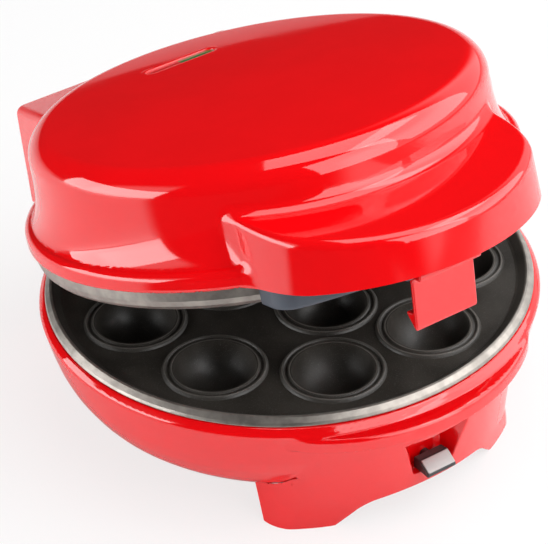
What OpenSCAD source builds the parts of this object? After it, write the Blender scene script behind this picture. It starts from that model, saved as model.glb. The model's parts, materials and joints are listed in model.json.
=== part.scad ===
// Cake pop maker: two dimpled plates in a hinged red housing, lid partly open.
// Millimetres. The table is z = 0, the plates' centre is x = y = 0, and the front faces -Y.

/* [View] */
// Piece to build, or all of them

/* [Pose] */
// How far the lid stands open, in degrees
lid_open = 15.44; // [0:0.5:80]

/* [Plates] */
// Radius of the circle on which the two plates meet
plate_r = 118; // [117:0.5:119]
// Radius of a ball that one pair of cavities bakes
cavity_r = 20; // [17:0.5:20.5]
// Radius of the outer ring of cavities
outer_ring_r = 82.2; // [81:0.1:83]
// Radius of the inner ring of cavities
inner_ring_r = 31.65; // [31:0.1:34]
// Wall of the cast plates
plate_wall = 2.2; // [1.6:0.1:2.4]

/* [Housing] */
// Wall of the moulded housings
wall = 2.6; // [2:0.1:2.8]
// Height of the lower plate's rim above the table
rim_z = 73.5; // [73:0.1:74]
// How far the release button can be pushed in
button_travel = 2.5; // [2:0.1:2.6]

/* [Hidden] */

red = [0.66, 0.03, 0.04];
charcoal = [0.16, 0.15, 0.15];
slate = [0.30, 0.33, 0.38];
black = [0.06, 0.06, 0.065];
steel = [0.72, 0.72, 0.73];
satin = [0.80, 0.80, 0.79];
brass = [0.78, 0.62, 0.30];
pale = [0.86, 0.84, 0.78];

// The lid's own frame is flat: its lip lies on h = 0, and the plates meet at h = -lip_drop.
lip_drop = 9.7;
lip_z = rim_z + lip_drop;
hinge_y = 126.7;
hinge_z = 65;
barrel_r = 10.5;
barrel_half = 58.6;
ear_gap = 59.4;
ear_r = 9;
ear_outer = 64.4;
pin_r = 3;
running_fit = 0.05;

// Plate section
floor_drop = 4;
skirt_r = plate_r + 3.4;
plate_under = floor_drop + plate_wall;
cup_r = cavity_r + plate_wall;
outer_count = 9;
inner_count = 3;
tube_r = 3.2;
element_r = 57;
element_half_gap = 9;
dish_floor = -30.6;
dish_skin = 0.8;
tab_half = 5;
rear_tabs = [70, 110];
front_tab = 270;

// Bowl of the base
ring_r = 124.8;
ring_top = 69;
seam_z = 35;
bowl_bottom = 19.5;
seat_r = 108;
seat_z = rim_z - plate_under - 0.1;
bowl_side = [[114.9, 35], [117, 38.5], [119.8, 45.5], [122, 53.5], [123.6, 60], [124.3, 63],
    [ring_r, 65.5], [124.5, 67.6], [123.4, 68.7], [121.9, ring_top]];
dish_side = [[0, bowl_bottom], [96, bowl_bottom], [99.5, 20.2], [103.5, 21.8], [106.5, 24],
    [110, 27.5], [112.6, 31], [114.9, 35]];

cover_screw_r = 102;
screw_angles = [45, 135, 225, 315];
bush_z = 32;

// Front skirt of the base: height, half width, front, front radius, corner radius
skirt_rings = [[0, 72, -111.6, 115, 7], [6, 71.6, -113.6, 108, 8], [12.5, 71.2, -115.7, 100, 10],
    [30, 70, -119.5, 98, 11], [56.9, 68.6, -125.3, 98, 11]];
skirt_hollow = [[-1, 72, -111.6, 115, 7], skirt_rings[2], skirt_rings[3], skirt_rings[4]];
ledge_rings = [[56.9, 68.6, -125.3, 98, 11], [57.1, 73.6, -131.6, 98, 11], [57.6, 75, -133, 98, 11],
    [62.6, 75, -133, 98, 11], [63.9, 74.4, -132.3, 98, 11], [64.7, 73, -130.7, 98, 11],
    [65.2, 70.4, -127.8, 98, 11], [65.5, 66, -123, 98, 11]];
// Rear bay of the base: height, front half width, rear half width, rear, corner radius
rear_rings = [[0, 73.5, 67.5, 122, 7], [12.5, 74, 66.5, 122.3, 6], [64, 75, 66, 122.5, 5],
    [66.2, 74, 64.9, 121.4, 5], [67.2, 71.5, 62.5, 119, 4]];
rear_start = 88;

// Drum of the lid
drum_side = [[120.9, 0], [122, 0.4], [122.8, 1.6], [123.2, 3.4], [123.2, 5.6], [122.7, 7.4],
    [121.3, 9], [118.6, 10.2], [117.4, 12.4], [116.2, 15.6], [115, 20], [113.7, 26],
    [113.2, 32], [113, 41]];
shoulder_r = 11;
dome_h = 57.5;
// Front shelf of the lid: half width and front at its foot, and its top plane
shelf_foot = [76, -160.5];
shelf_front_r = 85;
shelf_corner_r = 12;
shelf_slope = 0.16;
shelf_h = 21;
shelf_draft = 0.035;
// Screws of the lid's frame and of the liner, and the two lamps
lid_screw_r = 109;
liner_screw_y = -128;
liner_screws_x = [-58, 58];
lamps_x = [-9, 9];
// Rear block of the lid
block_foot_h = -11;
block_rear_h = 41;
block_slope = -0.106;
block_rear = 137;

// Liner under the shelf: its flat panel and its tray
panel_h = 1.4;
lip_clear_r = 123.8;
plate_clear_r = 122.2;
tray_half = 72.6;
tray_front = -130.6;
tray_front_r = 176;
tray_corner_r = 8;
tray_depth = 9.5;
tray_wall = 2.2;

// Window
window_y = 67.7;
window_half = 20;
window_r = 4;
lens_h = 54.6;

// Latch and its pivot, in the lid's frame
latch_y = -138.6;
latch_h = -4.5;
latch_half = 17.3;
latch_pin_r = 1.5;

// Recess for the release button: its back wall, and half widths at the back and at the mouth
recess_top = 46.5;
recess_foot = 23.9;
recess_back = -110;
recess_back_half = 9.6;
recess_mouth = -122;
recess_mouth_half = [13.2, 19.5];
pocket_half = 21.4;
pocket_wall = 2.4;
pocket_foot = 21.8;
pocket_top = 49;
pocket_room = 23.3;
pocket_rear = -103.4;

// Release button, its stem and the catch it moves
button_half = 8.3;
button_rear = recess_back - button_travel - 0.3;
stem_r = 2.4;
stem_z = 27.3;
stem_end = -93;
socket_r = stem_r + 0.4;
spring_end = -84;
catch_half = 3.2;
catch_front = -107.2;
catch_rear = -105.2;

module shaft(r, from, to) {
    translate([from, 0, 0]) rotate([0, 90, 0]) cylinder(r = r, h = to - from, $fn = 48);
}

module both_sides() {
    children();
    mirror([1, 0, 0]) children();
}

// Carries the lid's flat frame to where the lid stands
module on_lid() {
    translate([0, hinge_y, hinge_z])
        rotate([-lid_open, 0, 0])
            translate([0, -hinge_y, lip_z - hinge_z]) children();
}

// Front outline of a bay, from its left rear round the front to its right rear
function bay(half, front, big, small, back) = let(
    centre_y = front + big,
    side = half - small,
    corner_y = centre_y - sqrt(pow(big - small, 2) - side * side),
    turn = atan2(corner_y - centre_y, side)
) concat(
    [[-half, back]],
    [for (k = [0:5]) let(a = 180 - k / 5 * turn) [small * cos(a) - side, corner_y + small * sin(a)]],
    [for (k = [1:15]) let(a = 180 - turn + k / 16 * (180 + 2 * turn))
        [big * cos(a), centre_y + big * sin(a)]],
    [for (k = [0:5]) let(a = turn - k / 5 * turn) [side + small * cos(a), corner_y + small * sin(a)]],
    [[half, back]]);

// Rear outline with tapering sides and rounded corners, from its right front to its left front
function rear_bay(front_half, start, half, rear, small) = let(
    side = half - small,
    corner_y = rear - small,
    reach = norm([side - front_half, corner_y - start]),
    turn = atan2(corner_y - start, side - front_half) - asin(small / reach) - 90
) concat(
    [[front_half, start]],
    [for (k = [0:5]) let(a = turn + k / 5 * (90 - turn)) [side + small * cos(a), corner_y + small * sin(a)]],
    [for (k = [0:5]) let(a = 90 + k / 5 * (90 - turn)) [small * cos(a) - side, corner_y + small * sin(a)]],
    [[-front_half, start]]);

// Lifts an outline to a height that rises along Y
function lift(outline, z, slope = 0, level_y = 0) =
    [for (p = outline) [p.x, p.y, z + slope * (p.y - level_y)]];

// Closed solid through a stack of outlines that all have the same number of points
module loft(rings) {
    n = len(rings[0]);
    last = (len(rings) - 1) * n;
    points = [for (ring = rings) each ring];
    floor_faces = [for (i = [1:n - 2]) [0, i, i + 1]];
    roof_faces = [for (i = [1:n - 2]) [last, last + i + 1, last + i]];
    side_faces = [for (k = [0:len(rings) - 2], i = [0:n - 1]) let(j = (i + 1) % n)
        each [[k * n + i, (k + 1) * n + i, (k + 1) * n + j], [k * n + i, (k + 1) * n + j, k * n + j]]];
    polyhedron(points = points, faces = concat(floor_faces, side_faces, roof_faces));
}

// Outer and inner faces of a front bay with the listed rings
module front_loft(rings, inset = 0, back = -70) {
    loft([for (r = rings) lift(bay(r[1] - inset, r[2] + inset, r[3] - inset, r[4] - inset, back), r[0])]);
}

module rear_loft(rings, inset = 0, start = rear_start) {
    loft([for (r = rings)
        lift(rear_bay(r[1] - inset, start, r[2] - inset, r[3] - inset, r[4] - inset), r[0])]);
}

module at_cavities() {
    for (k = [0:outer_count - 1])
        rotate([0, 0, 90 + k * 360 / outer_count]) translate([outer_ring_r, 0, 0]) children();
    for (k = [0:inner_count - 1])
        rotate([0, 0, 270 + k * 360 / inner_count]) translate([inner_ring_r, 0, 0]) children();
}

// L-shaped tab that hooks a plate under a ledge, at an angle round the plate
module hook_tab(angle, r, drop, reach) {
    rotate([0, 0, angle]) translate([r, -tab_half, -drop]) {
        cube([2, 2 * tab_half, drop - plate_under + 0.5]);
        cube([reach, 2 * tab_half, 1.8]);
    }
}

// A dimpled plate whose rim lies on z = 0 and whose cups hang below it
module dimpled_plate(rim_side) {
    lip = cavity_r;
    difference() {
        union() {
            rotate_extrude($fn = 180)
                polygon(concat([[0, -floor_drop]], rim_side, [[0, -plate_under]]));
            at_cavities() {
                rotate_extrude($fn = 72)
                    polygon([[lip - 1, -floor_drop - 1], [lip - 1, -2.7], [lip + 1.3, -2.7],
                        [lip + 1.9, -3.2], [lip + 2.6, -3.4], [lip + 3.2, -3.1],
                        [lip + 3.7, -2.5], [lip + 4.5, -2.5], [lip + 5.1, -3.1],
                        [lip + 5.6, -floor_drop], [lip + 5.6, -floor_drop - 1]]);
                intersection() {
                    translate([0, 0, -2.7]) sphere(r = cup_r, $fn = 72);
                    translate([0, 0, -floor_drop - cup_r]) cylinder(r = cup_r + 1, h = cup_r, $fn = 72);
                }
            }
        }
        at_cavities() translate([0, 0, -2.7]) sphere(r = cavity_r, $fn = 72);
    }
}

// Sheathed heating element with its two cold ends at the rear
module element_ring() {
    translate([0, 0, -plate_under - tube_r]) {
        rotate([0, 0, 90 + element_half_gap])
            rotate_extrude(angle = 360 - 2 * element_half_gap, $fn = 120)
                translate([element_r, 0]) circle(r = tube_r, $fn = 32);
        for (side = [-1, 1])
            rotate([0, 0, 90 + side * element_half_gap]) translate([element_r, 0, 0]) {
                sphere(r = tube_r, $fn = 32);
                translate([0, 0, -16]) cylinder(r = tube_r, h = 16, $fn = 32);
                translate([0, 0, -26]) cylinder(r = 1.6, h = 11, $fn = 24);
            }
    }
}

// Three posts that carry the element above a reflector
module element_posts(foot) {
    tube_z = -plate_under - tube_r;
    difference() {
        for (a = [10, 130, 250]) rotate([0, 0, a]) translate([element_r, 0, 0]) {
            translate([0, 0, foot]) cylinder(r = 1.6, h = tube_z - tube_r - foot, $fn = 24);
            translate([0, 0, tube_z - tube_r - 1.2]) cylinder(r = 2.8, h = 2.6, $fn = 32);
        }
        translate([0, 0, tube_z])
            rotate_extrude($fn = 120) translate([element_r, 0]) circle(r = tube_r, $fn = 32);
    }
}

module screw(head_r, shank_r, length) {
    cylinder(r = head_r, h = 2, $fn = 32);
    translate([0, 0, 2]) cylinder(r = shank_r, h = length, $fn = 24);
}

module lower_plate() color(charcoal) translate([0, 0, rim_z]) {
    dimpled_plate([[plate_r - 5.6, -floor_drop], [plate_r - 4.4, -3.5], [plate_r - 1.1, -0.4],
        [plate_r, 0], [plate_r + 0.9, -0.3], [plate_r + 2.9, -2.4], [skirt_r, -3.6],
        [skirt_r, -4], [skirt_r - 1.2, -4], [plate_r + 1.4, -2.9], [plate_r, -1.9],
        [plate_r - 1.1, -2.3], [plate_r - 3.6, -5.4], [plate_r - 5, -plate_under]]);
    for (a = rear_tabs) hook_tab(a, seat_r - 2.4, 11.4, 6);
    difference() {
        translate([-5, 2 - plate_r, -16]) cube([10, 1.8, 11]);
        translate([-3.7, 1 - plate_r, -14]) cube([7.4, 4, 4.4]);
    }
}

module upper_plate() color(charcoal) on_lid() translate([0, 0, -lip_drop]) mirror([0, 0, 1]) {
    rim = plate_r - 0.5;
    dimpled_plate([[rim - 5.1, -floor_drop], [rim - 3.9, -3.5], [rim - 1.1, -0.4], [rim, 0],
        [rim + 0.9, -0.3], [rim + 2.5, -2.2], [rim + 3.3, -5], [rim + 3.5, -10.5],
        [rim + 2.1, -10.5], [rim + 1.9, -5.2], [rim + 0.9, -2.7], [rim - 0.1, -2],
        [rim - 1, -2.4], [rim - 3.1, -5.4], [rim - 4.5, -plate_under]]);
    for (a = concat(rear_tabs, front_tab)) hook_tab(a, 102.9, 15.2, 4);
}

module lower_element() color(steel) translate([0, 0, rim_z]) element_ring();

module upper_element() color(steel) on_lid() translate([0, 0, -lip_drop]) mirror([0, 0, 1]) element_ring();

module lower_element_clips() color(satin) translate([0, 0, rim_z]) element_posts(dish_floor);

module upper_element_clips() color(satin)
    on_lid() translate([0, 0, -lip_drop]) mirror([0, 0, 1]) element_posts(dish_floor);

// Thin bright dish below the cups of a plate, in the plate's own frame
module reflector_dish(rim_r, flange_r) {
    side = [[flange_r, -8.9], [rim_r, -8.9], [rim_r - 0.5, -17.5], [97.6, -25.5], [87.8, -29.4],
        [60, dish_floor], [0, dish_floor]];
    difference() {
        rotate_extrude($fn = 120)
            polygon(concat(side, [[0, dish_floor - dish_skin], [60, dish_floor - dish_skin],
                [88.1, -29.4 - dish_skin], [98.3, -26.1], [rim_r + 0.3, -17.7],
                [rim_r + 0.8, -8.9 - dish_skin], [flange_r, -8.9 - dish_skin]]));
        for (side = [-1, 1])
            rotate([0, 0, 90 + side * element_half_gap]) translate([element_r, 0, dish_floor - 9.4])
                cylinder(r = tube_r + 0.8, h = 12, $fn = 32);
    }
}

module lower_reflector() color(steel) difference() {
    translate([0, 0, rim_z]) reflector_dish(104.8, 112);
    for (a = rear_tabs) rotate([0, 0, a]) translate([seat_r - 5, -tab_half - 0.6, 62])
        cube([12, 2 * tab_half + 1.2, 6]);
    translate([-tab_half - 0.6, -113, 62]) cube([2 * tab_half + 1.2, 11, 6]);
}

module upper_reflector() color(steel) difference() {
    on_lid() translate([0, 0, -lip_drop]) mirror([0, 0, 1]) reflector_dish(104, 104.9);
    on_lid() for (a = concat(rear_tabs, front_tab))
        rotate([0, 0, a]) translate([102, -tab_half - 0.6, -2]) cube([8, 2 * tab_half + 1.2, 9]);
}

module base_housing() color(red) {
    difference() {
        union() {
            difference() {
                union() {
                    difference() {
                        union() {
                            front_loft(skirt_rings);
                            front_loft(ledge_rings);
                            rear_loft(rear_rings);
                        }
                        front_loft(skirt_hollow, wall, -50);
                        rear_loft([[-1, 73.5, 67.5, 122, 7], [12.5, 74, 66.5, 122.3, 6],
                            [64.6, 74, 65.4, 121.9, 5]], wall, 60);
                    }
                    rotate_extrude($fn = 180)
                        polygon(concat([[0, seam_z]], bowl_side, [[0, ring_top]]));
                }
                rotate_extrude($fn = 180)
                    polygon([[0, seam_z - 1], [112.2, seam_z - 1], [112.5, seam_z], [114.5, 39],
                        [117.3, 46.2], [119.4, 53.9], [121, 60.3], [121.4, 64.6], [seat_r, 64.6],
                        [seat_r, seat_z], [118.7, seat_z], [119.7, ring_top + 1], [0, ring_top + 1]]);
                rotate_extrude($fn = 120)
                    polygon(concat([[0, bowl_bottom - 0.5]],
                        [for (p = dish_side) [p.x + 0.4, p.y - (p.y < seam_z ? 0.4 : 0)]],
                        [[0, seam_z]]));
                skirt_cuts();
            }
            foot_floors();
            recess_pocket();
            translate([0, hinge_y, hinge_z]) shaft(barrel_r, -barrel_half, barrel_half);
            for (a = screw_angles) rotate([0, 0, a]) {
                translate([cover_screw_r, 0, seam_z + 1.4]) cylinder(r = 3.6, h = 9, $fn = 32);
                translate([cover_screw_r, -1.2, seam_z + 1.4]) cube([13, 2.4, 9]);
            }
        }
        recess();
        translate([0, -100, stem_z]) rotate([90, 0, 0]) cylinder(r = stem_r + running_fit, h = 12, $fn = 40);
        translate([-6.4, -119, 60]) cube([12.8, 12, 12]);
        both_sides() {
            translate([0, hinge_y, hinge_z]) {
                shaft(pin_r + running_fit, 36, 60);
                shaft(ear_r + 0.6, ear_gap, 70);
            }
            translate([ear_gap, hinge_y - 8.4, hinge_z]) cube([10, 20, 20]);
        }
        translate([0, hinge_y, hinge_z]) shaft(6.5, -34, 34);
        translate([0, 0, ring_top - 0.05]) cylinder(r = skirt_r + 0.9, h = 12, $fn = 180);
        for (a = screw_angles) rotate([0, 0, a])
            translate([cover_screw_r, 0, seam_z]) cylinder(r = 1.5, h = 9, $fn = 24);
        translate([0, 130, bush_z]) rotate([90, 0, 0]) cylinder(r = 5, h = 14, $fn = 40);
        for (s = foot_spots()) translate([s.x, s.y, -1]) cylinder(r = 5.6, h = 3, $fn = 40);
    }
}

// Outline of the recess at a depth, narrower at the back wall than at the mouth
function recess_ring(y) = let(
    share = (y - recess_back) / (recess_mouth - recess_back),
    low = recess_back_half + share * (recess_mouth_half[0] - recess_back_half),
    high = recess_back_half + share * (recess_mouth_half[1] - recess_back_half)
) [[-low, y, recess_foot], [low, y, recess_foot], [high, y, recess_top], [-high, y, recess_top]];

module recess() {
    loft([recess_ring(recess_back), recess_ring(recess_back - 20)]);
}

// Walls behind and beside the recess, with a floor that runs back under the button's catch
module recess_pocket() {
    difference() {
        intersection() {
            front_loft(skirt_rings);
            union() {
                translate([-pocket_half, -130, pocket_foot])
                    cube([2 * pocket_half, 130 + pocket_rear, pocket_top - pocket_foot]);
                translate([-14, -130, pocket_top - 1]) cube([28, 10.2, 5.4]);
            }
        }
        translate([-pocket_half - 1, recess_back + pocket_wall, pocket_room])
            cube([2 * pocket_half + 2, 20, 40]);
    }
}

function foot_spots() = [[-60, -86.5], [60, -86.5], [-58, 112], [58, 112]];

// Arches between the feet and the slanted rear edges of the feet's side walls
module skirt_cuts() {
    arch = [[-46, -1], [46, -1], [45.4, 1.4], [34.5, 12.5], [20, 14.6], [0, 15.4], [-20, 14.6],
        [-34.5, 12.5], [-45.4, 1.4]];
    rotate([90, 0, 0]) translate([0, 0, 70]) linear_extrude(height = 60) polygon(arch);
    rotate([90, 0, 0]) translate([0, 0, -140]) linear_extrude(height = 60) polygon(arch);
    rotate([90, 0, 90]) translate([0, 0, -90]) linear_extrude(height = 180)
        polygon([[-78, -1], [-70.5, 17], [-62.5, 36], [64, 36], [84, 19], [99, -1]]);
}

// Solid soles of the four feet
module foot_floors() {
    intersection() {
        front_loft(skirt_rings);
        both_sides() translate([47, -110, 0.8]) cube([30, 32, 5]);
    }
    intersection() {
        rear_loft(rear_rings);
        both_sides() translate([47, 99, 0.8]) cube([30, 30, 5]);
    }
}

module base_cover() color(red) difference() {
    union() {
        difference() {
            rotate_extrude($fn = 120) polygon(concat(dish_side, [[0, seam_z]]));
            rotate_extrude($fn = 120)
                polygon([[0, 21.9], [95.4, 21.9], [98.4, 22.5], [101.9, 24], [104.6, 26],
                    [107.9, 29.3], [110.4, 32.6], [112.4, seam_z + 0.1], [0, seam_z + 0.1]]);
        }
        for (a = screw_angles) rotate([0, 0, a])
            translate([cover_screw_r, 0, 23.4]) cylinder(r = 3.8, h = 12.6, $fn = 32);
    }
    translate([-pocket_half - 0.6, -130, 15]) cube([2 * pocket_half + 1.2, 130 + pocket_rear + 0.4, 25]);
    translate([-9, -104, pocket_room]) cube([18, 8, 10]);
    for (a = screw_angles) rotate([0, 0, a]) {
        translate([cover_screw_r, 0, 10]) cylinder(r = 3.2, h = 18, $fn = 32);
        translate([cover_screw_r, 0, 20]) cylinder(r = 1.8, h = 20, $fn = 24);
    }
    for (a = [0:15:345]) rotate([0, 0, a + 7.5]) translate([62, -1.5, 15]) cube([18, 3, 10]);
}

module base_screws() color(steel) for (a = screw_angles)
    rotate([0, 0, a]) translate([cover_screw_r, 0, 26]) screw(3, 1.5, 15);

module foot_pads() color(black) for (s = foot_spots())
    translate([s.x, s.y, 0]) cylinder(r = 5.5, h = 2, $fn = 40);

module thermostat() color(satin) translate([22, 0, 34]) {
    cylinder(r = 8, h = 8.1, $fn = 40);
    translate([-1.5, -7, -7]) cube([3, 1, 8]);
    translate([-1.5, 6, -7]) cube([3, 1, 8]);
}

module thermal_fuse() color(steel) translate([-22, 0, 38.8]) {
    rotate([90, 0, 0]) translate([0, 0, -8]) cylinder(r = 2.2, h = 16, $fn = 32);
    translate([-6, -2, 2]) cube([12, 4, 1.3]);
}

// Moulded socket on the floor that guides the button's stem and holds its spring
module button_guide() color(black) difference() {
    translate([-7, -95.2, 21.9]) cube([14, 13.2, 10.4]);
    translate([0, -96, stem_z]) rotate([-90, 0, 0]) cylinder(r = socket_r, h = 96 + spring_end, $fn = 40);
}

// Coil of the button's spring, as one tube along +Y
module button_spring() color(steel) {
    turns = 6;
    wire_r = 0.35;
    coil_r = socket_r - 0.6;
    steps = 18;
    start = stem_end + wire_r + 0.05;
    length = spring_end - stem_end - 2 * wire_r - 0.1;
    n = turns * steps;
    ring = [for (i = [0:n]) let(a = 360 * i / steps, y = start + length * i / n)
        [for (k = [0:7]) let(b = 45 * k, r = coil_r + wire_r * cos(b))
            [r * cos(a), y + wire_r * sin(b), stem_z + r * sin(a)]]];
    loft(ring);
}

module release_button() color(black) {
    side = [[button_rear, 24.3], [button_rear, 30.1], [-117.2, 30.9], [-117.8, 30.7], [-124.4, 26.4],
        [-124.8, 25.4], [-124.2, 24.3]];
    translate([-button_half, 0, 0]) rotate([90, 0, 90])
        linear_extrude(height = 2 * button_half) polygon(side);
    translate([0, stem_end, stem_z]) rotate([90, 0, 0])
        cylinder(r = stem_r, h = stem_end - button_rear + 0.5, $fn = 40);
}

module button_face() color(satin) translate([0.4 - button_half, 0, 0]) rotate([90, 0, 90])
    linear_extrude(height = 2 * (button_half - 0.4))
        polygon([[-118.1, 30.505], [-124.2, 26.53], [-124.64, 27.2], [-118.54, 31.175]]);

// Cranked arm that holds the plate's front tab until the button is pushed
module plate_catch() color(steel) difference() {
    translate([-catch_half, 0, 0]) rotate([90, 0, 90]) linear_extrude(height = 2 * catch_half)
        polygon([[catch_front, 24.1], [catch_rear, 24.1], [catch_rear, 51.6], [-110.8, 51.6],
            [-110.8, 63], [-115.4, 63], [-116, 61.6], [-115.4, 60.4], [-113, 60.4], [-113, 49.6],
            [catch_front, 49.6]]);
    translate([0, -100, stem_z]) rotate([90, 0, 0]) cylinder(r = stem_r, h = 12, $fn = 40);
}

// Height of the lid's roof at a distance from its centre
function dome(r) = dome_h - 3.6 * pow(r / 100, 2);

function roof_side(inset) = concat(
    [for (k = [4:-1:0]) let(a = 86 * (4 - k) / 4)
        [102 + (shoulder_r - inset) * cos(a), 42.6 + (shoulder_r - inset) * sin(a)]],
    [for (r = [90, 72, 54, 36, 18, 0]) [r, dome(r) - inset]]);

// One level of the shelf: how far in from the foot, and its height
function shelf_ring(inset, h, slope = 0) = lift(
    bay(shelf_foot.x - inset, shelf_foot.y + inset, shelf_front_r - inset, shelf_corner_r - inset / 2, -84),
    h, slope, shelf_foot.y + 3.5);

module shelf_solid() {
    edge = 3.6;
    draft = shelf_draft * shelf_h;
    loft(concat([shelf_ring(0.8, 0), shelf_ring(0, 0.8)],
        [for (a = [0:18:90]) shelf_ring(draft + edge * (1 - cos(a)), shelf_h - edge * (1 - sin(a)),
            shelf_slope)]));
}

function block_ring(inset, h, slope = 0) = lift(
    rear_bay(75 - inset, 84, 66 - inset * 0.9, 142 - inset, 6), h, slope, block_rear);

module block_solid() {
    edge = 3.2;
    loft(concat([block_ring(0.6, block_foot_h), block_ring(0, block_foot_h + 0.6)],
        [for (a = [0:22.5:90]) block_ring(2.6 + edge * (1 - cos(a)),
            block_rear_h - edge * (1 - sin(a)), block_slope)]));
}

module stadium(half, r, from, to) {
    translate([0, 0, from]) linear_extrude(height = to - from) {
        translate([r - half, 0]) circle(r = r, $fn = 40);
        translate([half - r, 0]) circle(r = r, $fn = 40);
        translate([r - half, -r]) square([2 * (half - r), 2 * r]);
    }
}

module lid_housing() color(red) on_lid() difference() {
    union() {
        difference() {
            union() {
                difference() {
                    shelf_solid();
                    loft([shelf_ring(wall, -1), shelf_ring(wall + 0.6, shelf_h - wall - 2, shelf_slope),
                        shelf_ring(wall + 2.6, shelf_h - wall, shelf_slope)]);
                }
                difference() {
                    block_solid();
                    loft([block_ring(wall, block_foot_h - 1),
                        block_ring(wall + 2.6, block_rear_h - wall - 2, block_slope),
                        block_ring(wall + 4.6, block_rear_h - wall, block_slope)]);
                    translate([0, 0, block_foot_h - 1]) cylinder(r = 122.6, h = 12.4, $fn = 180);
                }
                rotate_extrude($fn = 180) polygon(concat([[0, 0]], drum_side, roof_side(0)));
            }
            rotate_extrude($fn = 180)
                polygon(concat([[0, -1], [121.4, -1], [121.4, 5.8], [118.6, 7.2], [115.6, 9],
                    [114.2, 13], [112.4, 20], [111, 26.4], [110.5, 32]], roof_side(wall)));
        }
        intersection() {
            rotate_extrude($fn = 120) polygon(concat([[0, 0], [113, 0]], roof_side(0.8)));
            for (a = screw_angles) rotate([0, 0, a])
                translate([lid_screw_r, 0, 3.4]) cylinder(r = 4, h = 60, $fn = 32);
        }
        for (x = [-30, 30]) translate([x, window_y, 40]) cylinder(r = 3, h = 14, $fn = 32);
        for (x = liner_screws_x) translate([x, liner_screw_y, 3.6]) cylinder(r = 3.6, h = 20, $fn = 32);
        hinge_ears();
    }
    translate([0, window_y, 0]) stadium(window_half, window_r, 40, 70);
    for (a = screw_angles) rotate([0, 0, a])
        translate([lid_screw_r, 0, 0]) cylinder(r = 1.5, h = 18, $fn = 24);
    for (x = liner_screws_x) translate([x, liner_screw_y, 0]) cylinder(r = 1.5, h = 16, $fn = 24);
    translate([0, hinge_y, hinge_z - lip_z]) shaft(pin_r, -66, 66);
}

// Ears inside the block's ends that carry the hinge pins
module hinge_ears() {
    both_sides() {
        translate([0, hinge_y, hinge_z - lip_z]) shaft(ear_r, ear_gap + 0.6, ear_outer);
        translate([ear_gap + 0.6, hinge_y - 7.4, hinge_z - lip_z]) cube([ear_outer - ear_gap - 0.6, 15, 30]);
    }
}

module lid_frame() color(slate) on_lid() difference() {
    rotate_extrude($fn = 180)
        polygon([[105.4, -3.4], [112.6, -3.4], [114.4, -1], [118.4, -1], [118.4, 1.4], [121.2, 1.4],
            [121.2, 3.4], [105.4, 3.4]]);
    for (a = screw_angles) rotate([0, 0, a]) {
        translate([lid_screw_r, 0, -4]) cylinder(r = 1.8, h = 9, $fn = 24);
        translate([lid_screw_r, 0, -4]) cylinder(r = 3.4, h = 3.2, $fn = 32);
    }
}

module lid_screws() color(steel) on_lid() for (a = screw_angles)
    rotate([0, 0, a]) translate([lid_screw_r, 0, -2.8]) screw(3, 1.5, 17);

// Outline of the tray that hangs below the shelf, a distance in from its outer face
function tray_outline(inset) = bay(tray_half - inset, tray_front + inset, tray_front_r - inset,
    tray_corner_r - inset, -80);

// Panel under the shelf with a shallow tray between the drum's lip and the latch
module shelf_liner() color(slate) on_lid() difference() {
    union() {
        translate([0, 0, panel_h]) linear_extrude(height = tray_wall)
            polygon(bay(shelf_foot.x - wall - 0.8, shelf_foot.y + wall + 0.8, 82, 9, -80));
        translate([0, 0, -tray_depth]) linear_extrude(height = tray_depth + panel_h + 1)
            polygon(tray_outline(0));
        both_sides() {
            translate([0, latch_y, latch_h]) shaft(3.8, latch_half + 0.4, latch_half + 3.4);
            translate([latch_half + 0.4, latch_y - 3.8, latch_h]) cube([3, 7.6, 6.5]);
        }
    }
    rotate_extrude($fn = 180)
        polygon([[0, -20], [plate_clear_r, -20], [plate_clear_r, -0.3], [lip_clear_r, -0.3],
            [lip_clear_r, 6], [0, 6]]);
    difference() {
        translate([0, 0, tray_wall - tray_depth]) linear_extrude(height = 20)
            polygon(tray_outline(tray_wall));
        translate([0, 0, -20]) cylinder(r = lip_clear_r + tray_wall, h = 50, $fn = 180);
    }
    translate([0, latch_y, latch_h]) shaft(latch_pin_r, -30, 30);
    for (x = liner_screws_x) translate([x, liner_screw_y, 0]) cylinder(r = 1.7, h = 6, $fn = 24);
}

module liner_screws() color(steel) on_lid() for (x = liner_screws_x)
    translate([x, liner_screw_y, -0.6]) screw(3, 1.5, 14);

module lens(colour, side) color(colour) on_lid() intersection() {
    translate([0, window_y, 0]) {
        stadium(window_half, window_r, 51, lens_h);
        stadium(window_half + 2, window_r + 2, 51 - 1.4, 51.6);
    }
    translate([side > 0 ? 0.15 : -30.15, 0, 0]) cube([30, 100, 80]);
}

module red_lens() lens([0.80, 0.05, 0.05], -1);

module green_lens() lens([0.10, 0.45, 0.16], 1);

module lamp_holder() color(pale) on_lid() difference() {
    translate([-34, window_y - 7, 37.8]) cube([68, 14, 2.2]);
    for (x = lamps_x) translate([x, window_y, 30]) cylinder(r = 2.8, h = 20, $fn = 32);
}

module indicator_lamps() color(brass) on_lid() for (x = lamps_x) translate([x, window_y, 0]) {
    translate([0, 0, 34]) cylinder(r = 2.8, h = 11, $fn = 32);
    translate([0, 0, 45]) sphere(r = 2.8, $fn = 32);
}

module hinge_pins() color(steel) both_sides()
    translate([0, hinge_y, hinge_z]) {
        shaft(pin_r, 38, ear_outer);
        shaft(pin_r + 1.4, ear_outer, ear_outer + 1);
    }

module latch_pin() color(steel) on_lid() translate([0, latch_y, latch_h])
    shaft(latch_pin_r, -latch_half - 3.4, latch_half + 3.4);

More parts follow.
